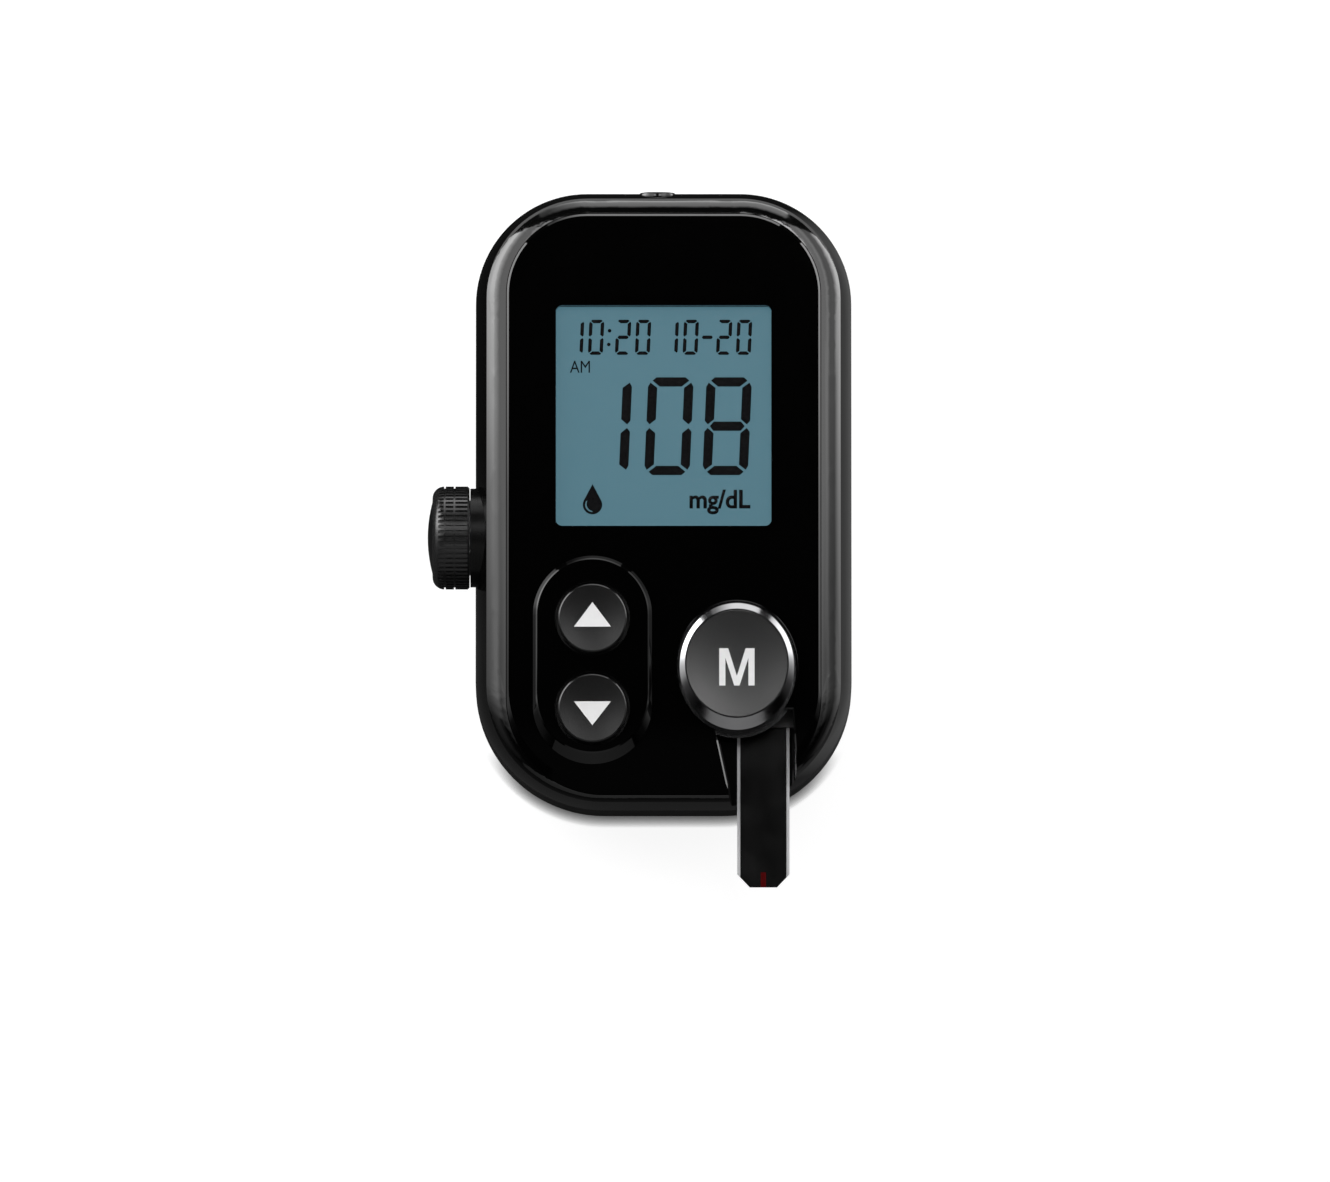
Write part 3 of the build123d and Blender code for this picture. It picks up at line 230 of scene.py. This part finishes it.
MATERIAL_OF = {
    "front_housing": shell_gloss,
    "top_button": shell_gloss,
    "dial_cap": shell_gloss,
    "dial_collar": plain("collar_black", (0.003,) * 3, 0.25, Specular_IOR_Level=0.15),
    "dial_knob": satin_black("dial_satin", 0.012, 0.22, 6 * MICRON),
    "front_panel": facia_gloss,
    "key_bezel": facia_gloss,
    "rear_housing": shell_satin,
    "battery_door": shell_satin,
    "up_button": arrow_face,
    "down_button": arrow_face,
    "memory_cap": key_black("memory_face", index=1.9),
    "memory_button": metal("key_rim", (0.29, 0.29, 0.295), 0.13, drift=0.03),
    "display_window": plain("lens_clear", (0.006,) * 3, 0.03, Alpha=0.2),
    "lcd_glass": plain("lcd_cell", LCD_COLOUR, 0.35, 0.03, 900, **lcd_glow_and_painted_fill),
    "display_gasket": plain("rubber_black", (0.012,) * 3, 0.8),
    "lcd_frame": plain("frame_white", WHITE_PLASTIC, 0.5),
    "board_spacers": plain("spacer_white", WHITE_PLASTIC, 0.5),
    "light_guide": plain("guide_clear", (0.75, 0.82, 0.88), 0.2, Alpha=0.5),
    "zebra_connectors": plain("rubber_grey", (0.16, 0.16, 0.17), 0.75),
    "main_board": plain("board_green", BOARD_GREEN, 0.4, scale=600),
    "key_board": plain("board_green_key", BOARD_GREEN, 0.4, scale=600),
    "board_chips": plain("chip_black", BLACK_PLASTIC, 0.5),
    "buzzer": plain("buzzer_black", BLACK_PLASTIC, 0.5),
    "top_switch": plain("switch_black", BLACK_PLASTIC, 0.5),
    "strip_port": plain("port_black", (0.01,) * 3, 0.5),
    "key_domes": metal("dome_steel", STEEL, 0.3),
    "battery_cells": metal("cell_steel", STEEL, 0.28),
    "strip_contacts": metal("spring_gold", (0.75, 0.55, 0.22), 0.3),
    "battery_contacts": metal("spring_nickel", (0.65, 0.6, 0.5), 0.3),
    "encoder_body": metal("encoder_plate", PLATED, 0.35),
    "encoder_nut": metal("nut_plate", PLATED, 0.35),
    "encoder_shaft": metal("shaft_plate", PLATED, 0.3),
    "board_screws": metal("board_screw_steel", PLATED, 0.35),
    "housing_screws": metal("screw_oxide", (0.03, 0.03, 0.032), 0.38),
    "test_strip": plain("strip_base", (0.53, 0.53, 0.54), 0.3, drift=0.03),
    "strip_cover": gloss_black("strip_film", 0.0025, 0.14, 2 * MICRON),
    "strip_channel": plain("strip_reagent", (0.065, 0.0005, 0.001), 0.14, 0.4, 2500),
}
for node_name, node_material in MATERIAL_OF.items():
    node = nodes[node_name]
    if not node.material_slots:
        node.data.materials.append(node_material)
    for material_slot in node.material_slots:
        material_slot.material = node_material


# ---------------------------------------------------------------- prints
INK = 0.03          # thickness of a print, in mm
SAME_POINT = 0.001  # corners closer than this, in mm, are one
RAY_START = 0.01    # height above the node from which a print is dropped onto it


def flat_mesh(curve):
    """The flat mesh of a filled curve or of a text."""
    carrier = bpy.data.objects.new(curve.name, curve)
    scene.collection.objects.link(carrier)
    bpy.context.view_layer.update()
    evaluated = carrier.evaluated_get(bpy.context.evaluated_depsgraph_get())
    mesh = bpy.data.meshes.new_from_object(evaluated)
    bpy.data.objects.remove(carrier)
    return mesh


def filled(outlines):
    """A flat mesh from closed outlines of (x, y) in mm; an outline inside another is a hole."""
    curve = bpy.data.curves.new("outline", "CURVE")
    curve.dimensions = "2D"
    curve.fill_mode = "BOTH"
    for outline in outlines:
        spline = curve.splines.new("POLY")
        spline.points.add(len(outline) - 1)
        for point, (x, y) in zip(spline.points, outline):
            point.co = (x, y, 0, 1)
        spline.use_cyclic_u = True
    return flat_mesh(curve)


def lettering(text, low, high, weight=0.0):
    """A flat mesh of generic lettering that fills the box between two corners, in mm."""
    curve = bpy.data.curves.new("lettering", "FONT")
    curve.body = text
    curve.offset = weight
    mesh = flat_mesh(curve)
    for axis in (0, 1):
        places = [vertex.co[axis] for vertex in mesh.vertices]
        start = min(places)
        scale = (high[axis] - low[axis]) / (max(places) - start)
        for vertex in mesh.vertices:
            vertex.co[axis] = (vertex.co[axis] - start) * scale + low[axis]
    return mesh


def printed(name, flat, node, material, body, cuts=0):
    """Lays a flat mesh, in mm, on a node's upper side as a print, and rides it on a body.

    The cuts divide each edge, so that a print on a dished or domed face follows it.
    """
    surface = BVHTree.FromObject(nodes[node], bpy.context.evaluated_depsgraph_get())
    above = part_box(node)[1].z + RAY_START
    form = bmesh.new()
    form.from_mesh(flat)
    bmesh.ops.remove_doubles(form, verts=form.verts, dist=SAME_POINT)
    if cuts:
        bmesh.ops.triangulate(form, faces=form.faces)
        bmesh.ops.subdivide_edges(form, edges=form.edges, cuts=cuts, use_grid_fill=True)
    for vertex in form.verts:
        start = Vector((vertex.co.x * MM, vertex.co.y * MM, above))
        vertex.co = surface.ray_cast(start, Vector((0, 0, -1)))[0]
    raised = bmesh.ops.extrude_face_region(form, geom=list(form.faces))
    corners = [part for part in raised["geom"] if isinstance(part, bmesh.types.BMVert)]
    bmesh.ops.translate(form, verts=corners, vec=(0, 0, INK * MM))
    bmesh.ops.recalc_face_normals(form, faces=form.faces)
    mesh = bpy.data.meshes.new(name)
    form.to_mesh(mesh)
    form.free()
    mesh.materials.append(material)
    piece = bpy.data.objects.new(name, mesh)
    scene.collection.objects.link(piece)
    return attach(piece, body)


def on_display(name, flat):
    """Dark figures on the display's glass."""
    return printed(name, flat, "lcd_glass", lcd_ink, "housing")


# ---------------------------------------------------------------- display figures
# segments of a figure: a top, b and c right, d bottom, e and f left, g middle
SEGMENTS = {"0": "abcdef", "1": "bc", "2": "abged", "8": "abcdefg", "-": "g"}
SLANT = math.tan(math.radians(2.5))

# A segment's corners are in strokes. Those of the top bar are measured from the figure's
# upper left corner, and those of the middle bar's left end from the middle line.
TOP_BAR_END = ((0.46, -0.36), (0.88, 0.0))
TOP_BAR_INNER = (1.26, -1.0)
MIDDLE_BAR_END = ((0.97, 0.5), (0.56, 0.0), (0.97, -0.5))
# The upper left upright hangs from the top where y is negative and stands on the middle line
# where it is positive.
UPRIGHT = ((0.25, -0.57), (0.0, -1.03), (0.0, 0.59), (0.34, 0.19), (1.0, 0.75), (1.0, -1.14))


def segment_outlines(figure, left, base, width, height, stroke):
    """Outlines of one figure's segments, with the clipped corners of a display cell."""

    def across(outline):
        return [(width - x, y) for x, y in outline]

    def upended(outline):
        return [(x, height - y) for x, y in outline]

    def corner(x, y, start):
        return (x * stroke, start + y * stroke)

    middle = height / 2
    top_end = [corner(x, y, height) for x, y in TOP_BAR_END]
    top_inner = [corner(*TOP_BAR_INNER, height)]
    middle_end = [corner(x, y, middle) for x, y in MIDDLE_BAR_END]
    shapes = {
        "a": top_end + across(top_end)[::-1] + across(top_inner) + top_inner,
        "f": [corner(x, y, height if y < 0 else middle) for x, y in UPRIGHT],
        "g": middle_end + across(middle_end)[::-1],
    }
    shapes["d"] = upended(shapes["a"])
    shapes["b"] = across(shapes["f"])
    shapes["e"] = upended(shapes["f"])
    shapes["c"] = across(shapes["e"])
    return [
        [(left + x + y * SLANT, base + y) for x, y in shapes[segment]]
        for segment in SEGMENTS[figure]
    ]


def figures(name, places, base, width, height, stroke):
    """A row of figures, each with the place of its left side, in mm."""
    outlines = []
    for figure, left in places:
        outlines += segment_outlines(figure, left, base, width, height, stroke)
    return on_display(name, filled(outlines))


def circle(x, y, radius, start=0.0, turn=2 * math.pi, steps=40):
    """Points of an arc, anticlockwise from an angle; a full turn doesn't repeat its start."""
    ends = 0 if turn == 2 * math.pi else 1
    angles = [start + turn * step / (steps - ends) for step in range(steps)]
    return [(x + radius * math.cos(angle), y + radius * math.sin(angle)) for angle in angles]


# a row's base line, and its figures' width, height and stroke
SMALL_ROW = (20.35, 2.16, 5.08, 0.5)
LARGE_ROW = (2.95, 6.52, 14.15, 1.34)
TIME = (("1", -13.76), ("0", -10.88), ("2", -7.01), ("0", -4.14))
DATE = (("1", -0.16), ("0", 2.71), ("-", 5.08), ("2", 7.51), ("0", 10.36))
READING = (("1", -11.62), ("0", -2.80), ("8", 5.56))
COLON = ((-7.87, 21.85), (-7.76, 23.84))
COLON_R = 0.26
MORNING_BOX = ((-13.45, 17.76), (-10.57, 19.50))
UNIT_BOX = ((3.71, -2.72), (12.45, 0.86))
UNIT_WEIGHT = 0.025

figures("time_figures", TIME, *SMALL_ROW)
figures("date_figures", DATE, *SMALL_ROW)
figures("reading_figures", READING, *LARGE_ROW)
on_display("time_colon", filled([circle(x, y, COLON_R) for x, y in COLON]))
on_display("morning_mark", lettering("AM", *MORNING_BOX))
on_display("unit_mark", lettering("mg/dL", *UNIT_BOX, UNIT_WEIGHT))

# the drop is a round belly with two straight flanks that meet in a point
DROP_X, DROP_Y, DROP_R, DROP_TIP = -10.2, -1.33, 1.39, 2.98
drop_flank = math.asin(DROP_R / DROP_TIP)
belly = circle(DROP_X, DROP_Y, DROP_R, math.pi - drop_flank, math.pi + 2 * drop_flank)
drop_outline = belly + [(DROP_X, DROP_Y + DROP_TIP)]

# its glint is a crescent between two equal arcs, left open in the ink
GLINT_R, GLINT_SHIFT = 1.05, 0.2
GLINT_START, GLINT_TURN = math.radians(150), math.radians(115)
GLINT_TAPER = 0.06      # radians by which the inner arc is shorter at each end
glint_outer = circle(DROP_X, DROP_Y, GLINT_R, GLINT_START, GLINT_TURN)
glint_inner = circle(
    DROP_X + GLINT_SHIFT, DROP_Y + GLINT_SHIFT / 2, GLINT_R,
    GLINT_START + GLINT_TAPER, GLINT_TURN - 2 * GLINT_TAPER,
)
on_display("drop_mark", filled([drop_outline, glint_outer + glint_inner[::-1]]))

# ---------------------------------------------------------------- key legends
M_HALF, M_HEIGHT, M_STEM, M_SHOULDER = 2.53, 5.38, 0.88, 1.28
M_NOTCH, M_CROTCH = 4.0, 1.4    # heights of the inner corners
M_VERTEX = 0.38                 # half the width of the V at the base line
M_DROP = 0.5                    # below the middle of the cap
TRIANGLE_HALF = 2.65
# heights of the tip and of the flat side, from the middle of the cap
TRIANGLES = {"up": (2.29, -1.26), "down": (-2.48, 0.96)}


def letter_m(x, y):
    """The letter M round a centre: two stems and a V that reaches the base line."""
    left = [
        (-M_VERTEX, 0),
        (M_STEM - M_HALF, M_NOTCH),
        (M_STEM - M_HALF, 0),
        (-M_HALF, 0),
        (-M_HALF, M_HEIGHT),
        (M_SHOULDER - M_HALF, M_HEIGHT),
    ]
    right = [(-across, up) for across, up in reversed(left)]
    outline = left + [(0, M_CROTCH)] + right
    return [(x + across, y + up - M_HEIGHT / 2) for across, up in outline]


def cap_centre(node):
    """The middle of a node's box in plan, in mm."""
    low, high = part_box(node)
    return (low.x + high.x) / 2 / MM, (low.y + high.y) / 2 / MM


def key_legend(name, outline, node, body, cuts):
    """A white legend on a key."""
    return printed(name, filled([outline]), node, legend_white, body, cuts)


memory_x, memory_y = cap_centre("memory_cap")
memory_outline = letter_m(memory_x, memory_y - M_DROP)
key_legend("memory_letter", memory_outline, "memory_cap", "memory_key", cuts=3)
for key, (tip, side) in TRIANGLES.items():
    key_x, key_y = cap_centre(key + "_button")
    triangle = [
        (key_x, key_y + tip),
        (key_x - TRIANGLE_HALF, key_y + side),
        (key_x + TRIANGLE_HALF, key_y + side),
    ]
    key_legend(key + "_triangle", triangle, key + "_button", key + "_key", cuts=5)


# ---------------------------------------------------------------- stage
FLOOR_SIZE = 6.0
FLOOR_GAP = 0.0001      # below the rear face, so that the two never fill the same plane
FLOOR_ROUGHNESS = 0.9
FLOOR_WHITE = 0.2       # albedo that the camera sees
FLOOR_LIFT = 0.9        # own light towards the camera
FLOOR_SHADE = 0.01      # albedo for other rays, so that the black flanks stay black
WORLD_SHADE = 0.01      # what the white world sheds on the meter

# Shares of the white floor that show in gloss: behind the meter, rising between two distances
# past its top end; to its right, from its side on; and round its lower half, fully below
# LOW_FULL and not at all above LOW_END.
BACK_GLOSS, BACK_START, BACK_FULL = 1.0, 0.03, 0.07
RIGHT_GLOSS, RIGHT_BLUR = 0.17, 0.005
LOW_GLOSS, LOW_FULL, LOW_END = 0.03, -0.02, 0.01

# the contact shadow under the lower end fades between two distances from that end
CONTACT_REACH, CONTACT_DEPTH = 0.003, 4.0
CONTACT_FULL, CONTACT_END = 0.004, 0.01


def light_share(material, gloss):
    """How much a ray shows of the white background.

    The camera and rays through glass see all of it, and rays off gloss see that share.
    """
    path = add_node(material, "ShaderNodeLightPath").outputs
    glossy = maths(material, "MULTIPLY", path["Is Glossy Ray"], gloss)
    direct = maths(material, "MAXIMUM", path["Is Camera Ray"], path["Is Transmission Ray"])
    return maths(material, "MAXIMUM", direct, glossy)


def floor_gloss(paint, x, y, side, end):
    """The share of the white floor in gloss, from its place and the meter's side and end."""
    back = spread(paint, y, 0, BACK_GLOSS, end + BACK_START, end + BACK_FULL)
    right = spread(paint, x, 0, RIGHT_GLOSS, side - RIGHT_BLUR, side + RIGHT_BLUR)
    low = spread(paint, y, LOW_GLOSS, 0, LOW_FULL, LOW_END)
    return maths(paint, "MAXIMUM", back, maths(paint, "MAXIMUM", right, low))


def contact_shadow(paint, y, end):
    """A factor that darkens the floor right under the meter's lower end."""
    nearness = add_node(paint, "ShaderNodeAmbientOcclusion", Distance=CONTACT_REACH)
    depth = spread(paint, y, CONTACT_DEPTH, 0, CONTACT_FULL - end, CONTACT_END - end)
    return maths(paint, "POWER", nearness.outputs["AO"], depth)


def make_floor_paint():
    side, end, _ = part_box("rear_housing")[1]
    paint = principled(
        "floor_paint", (FLOOR_WHITE,) * 3, FLOOR_ROUGHNESS,
        Emission_Color=(1, 1, 1, 1), Specular_IOR_Level=0,
    )
    x, y, _ = axes_of(paint, "Object")
    share = light_share(paint, floor_gloss(paint, x, y, side, end))
    share = maths(paint, "MULTIPLY", share, contact_shadow(paint, y, end))
    feed(paint, "Base Color", spread(paint, share, FLOOR_SHADE, FLOOR_WHITE))
    feed(paint, "Emission Strength", spread(paint, share, 0, FLOOR_LIFT))
    return paint


def flat_panel(name, width, height, material):
    """A flat rectangle round its own origin, facing its own +Z."""
    corners = [(-width / 2, -height / 2, 0), (width / 2, -height / 2, 0)]
    corners += [(width / 2, height / 2, 0), (-width / 2, height / 2, 0)]
    mesh = bpy.data.meshes.new(name)
    mesh.from_pydata(corners, [], [(0, 1, 2, 3)])
    mesh.materials.append(material)
    panel = bpy.data.objects.new(name, mesh)
    scene.collection.objects.link(panel)
    return panel


floor = flat_panel("floor", FLOOR_SIZE, FLOOR_SIZE, make_floor_paint())
floor.location.z = -FLOOR_GAP

world = bpy.data.worlds.new("studio")
scene.world = world
world.use_nodes = True
background = world.node_tree.nodes["Background"]
background.inputs["Color"].default_value = (1, 1, 1, 1)
world_strength = spread(world, light_share(world, WORLD_SHADE), WORLD_SHADE, 1)
link(world, world_strength, background.inputs["Strength"])


# ---------------------------------------------------------------- softboxes
def softbox(name, foot, facing, size, layers):
    """A glowing panel that stands on the middle of its lower edge and leans to face a direction.

    Each layer is its radiance, where 1 shows as white in a mirror, its shading along the
    panel from left to right as the meter sees it, and its shading from foot to top.
    """
    material = bpy.data.materials.new(name + "_glow")
    material.use_nodes = True
    material.node_tree.nodes.clear()
    across, rise, _ = axes_of(material, "Generated")
    total = 0.0
    for radiance, along, rising in layers:
        shade = maths(
            material, "MULTIPLY", ramp(material, across, along), ramp(material, rise, rising)
        )
        total = maths(material, "ADD", maths(material, "MULTIPLY", shade, radiance), total)
    glow = add_node(material, "ShaderNodeEmission")
    output = add_node(material, "ShaderNodeOutputMaterial")
    link(material, total, glow.inputs["Strength"])
    link(material, glow.outputs["Emission"], output.inputs["Surface"])

    width, height = size
    panel = flat_panel(name, width, height, material)
    normal = Vector(facing).normalized()
    right = Vector((0, 0, 1)).cross(normal).normalized()
    upward = normal.cross(right)
    panel.rotation_mode = "QUATERNION"
    panel.rotation_quaternion = Matrix((right, upward, normal)).transposed().to_quaternion()
    panel.location = Vector(foot) + upward * height / 2
    panel.visible_camera = False
    return panel


def mirrored(levels):
    """The same shading from the other end."""
    return tuple((1 - place, level) for place, level in reversed(levels))


# height of a box's foot, so that the box leaves no contact shadow on the floor
LOW_EDGE = 0.005

# The side boxes lean over the meter. Their shadings along are written from the meter's lower
# end to its top end. The low layer fills a box's lower half, the high layer is strongest at
# its middle, and the overhead layer fills its upper half.
SIDE_TILT = math.tan(math.radians(18))
SIDE_FAR, SIDE_SHIFT, SIDE_SIZE = 0.28, 0.04, (0.5, 0.52)
LEFT_LOW = ((0.0, 0.0), (0.28, 0.03), (0.43, 0.09), (0.48, 0.27), (0.54, 0.9), (0.6, 1.0))
LEFT_HIGH = ((0.31, 0.0), (0.43, 1.0))
RIGHT_LOW = ((0.0, 0.0), (0.28, 0.1), (0.43, 0.26), (0.48, 0.42), (0.54, 0.9), (0.6, 1.0))
RIGHT_HIGH = ((0.31, 0.0), (0.45, 0.55), (0.54, 1.0))
OVERHEAD = ((0.42, 0.0), (0.52, 1.0))
OVERHEAD_RISE = ((0.5, 0.0), (0.7, 1.0))
LEFT_LOW_RISE = (
    (0.05, 0.65), (0.13, 0.85), (0.19, 1.0), (0.3, 0.95), (0.36, 0.5), (0.47, 0.2), (0.6, 0.0),
)
LEFT_HIGH_RISE = ((0.07, 0.2), (0.19, 0.3), (0.3, 0.55), (0.36, 0.85), (0.47, 1.0), (0.7, 0.3))
RIGHT_LOW_RISE = ((0.05, 1.0), (0.13, 0.8), (0.19, 0.5), (0.27, 0.12), (0.36, 0.1), (0.45, 0.0))
RIGHT_HIGH_RISE = ((0.3, 0.3), (0.36, 0.35), (0.47, 0.6), (0.6, 0.9), (0.75, 0.3))
LEFT_LAYERS = (
    (7.4, LEFT_LOW, LEFT_LOW_RISE),
    (2.0, LEFT_HIGH, LEFT_HIGH_RISE),
    (1.4, OVERHEAD, OVERHEAD_RISE),
)
RIGHT_LAYERS = (
    (6.2, mirrored(RIGHT_LOW), RIGHT_LOW_RISE),
    (2.3, mirrored(RIGHT_HIGH), RIGHT_HIGH_RISE),
    (1.6, mirrored(OVERHEAD), OVERHEAD_RISE),
)
left_foot = (-SIDE_FAR, SIDE_SHIFT, LOW_EDGE)
right_foot = (SIDE_FAR, SIDE_SHIFT, LOW_EDGE)
softbox("left_softbox", left_foot, (1, 0, -SIDE_TILT), SIDE_SIZE, LEFT_LAYERS)
softbox("right_softbox", right_foot, (-1, 0, -SIDE_TILT), SIDE_SIZE, RIGHT_LAYERS)

# the back box stands upright behind the top end and draws the line along the top shoulder
BACK_FAR, BACK_SIZE = 0.35, (0.34, 0.30)
BACK_ALONG = ((0.1, 0.2), (0.45, 1.0), (1.0, 1.0))
BACK_RISE = (
    (0.02, 1.0), (0.12, 0.9), (0.25, 0.58), (0.5, 0.52), (0.68, 0.48), (0.85, 0.22), (1.0, 0.1),
)
softbox("back_softbox", (0, BACK_FAR, 0), (0, -1, 0), BACK_SIZE, ((4.7, BACK_ALONG, BACK_RISE),))

# the front box is a large dim sheet that gives the lower slopes their grey
FRONT_FAR, FRONT_TILT, FRONT_SIZE = 0.4, 0.3, (0.9, 0.7)
FRONT_ALONG = ((0.0, 0.6), (0.5, 1.0), (1.0, 0.6))
FRONT_RISE = ((0.0, 0.5), (0.5, 0.6), (0.8, 1.0), (1.0, 0.5))
front_foot = (0, -FRONT_FAR, LOW_EDGE)
front_layers = ((0.55, FRONT_ALONG, FRONT_RISE),)
softbox("front_softbox", front_foot, (0, 1, -FRONT_TILT), FRONT_SIZE, front_layers)

# the top box hangs over the top end; its second layer reaches further over the meter and is
# dark in the middle, where the flat facia would mirror it
TOP_FOOT, TOP_TILT, TOP_SIZE = (0, 0.24, 0.5), 0.3, (0.5, 0.22)
TOP_LAYERS = (
    (5.0, ((0.47, 0.0), (0.56, 1.0), (0.85, 1.0), (0.95, 0.0)), ((0.3, 1.0), (0.59, 0.0))),
    (3.5, ((0.37, 1.0), (0.41, 0.0), (0.59, 0.0), (0.63, 1.0)), ((0.6, 1.0), (1.0, 0.0))),
)
softbox("top_softbox", TOP_FOOT, (0, -TOP_TILT, -1), TOP_SIZE, TOP_LAYERS)

# ---------------------------------------------------------------- camera
ELEVATION = math.radians(83)
DISTANCE = 4.0
SENSOR = 36.0           # in mm
VIEW_WIDTH = 0.1907     # width of the view at the display's height
TARGET = Vector((0.0002, -0.01385, 0.020))      # middle of the view

camera_data = bpy.data.cameras.new("camera")
camera_data.sensor_width = SENSOR
camera_data.lens = SENSOR * DISTANCE / VIEW_WIDTH
camera = bpy.data.objects.new("camera", camera_data)
outward = Vector((0, -math.cos(ELEVATION), math.sin(ELEVATION)))
camera.location = TARGET + outward * DISTANCE
camera.rotation_mode = "QUATERNION"
camera.rotation_quaternion = (-outward).to_track_quat("-Z", "Y")
scene.collection.objects.link(camera)
scene.camera = camera

scene.view_settings.view_transform = "Standard"
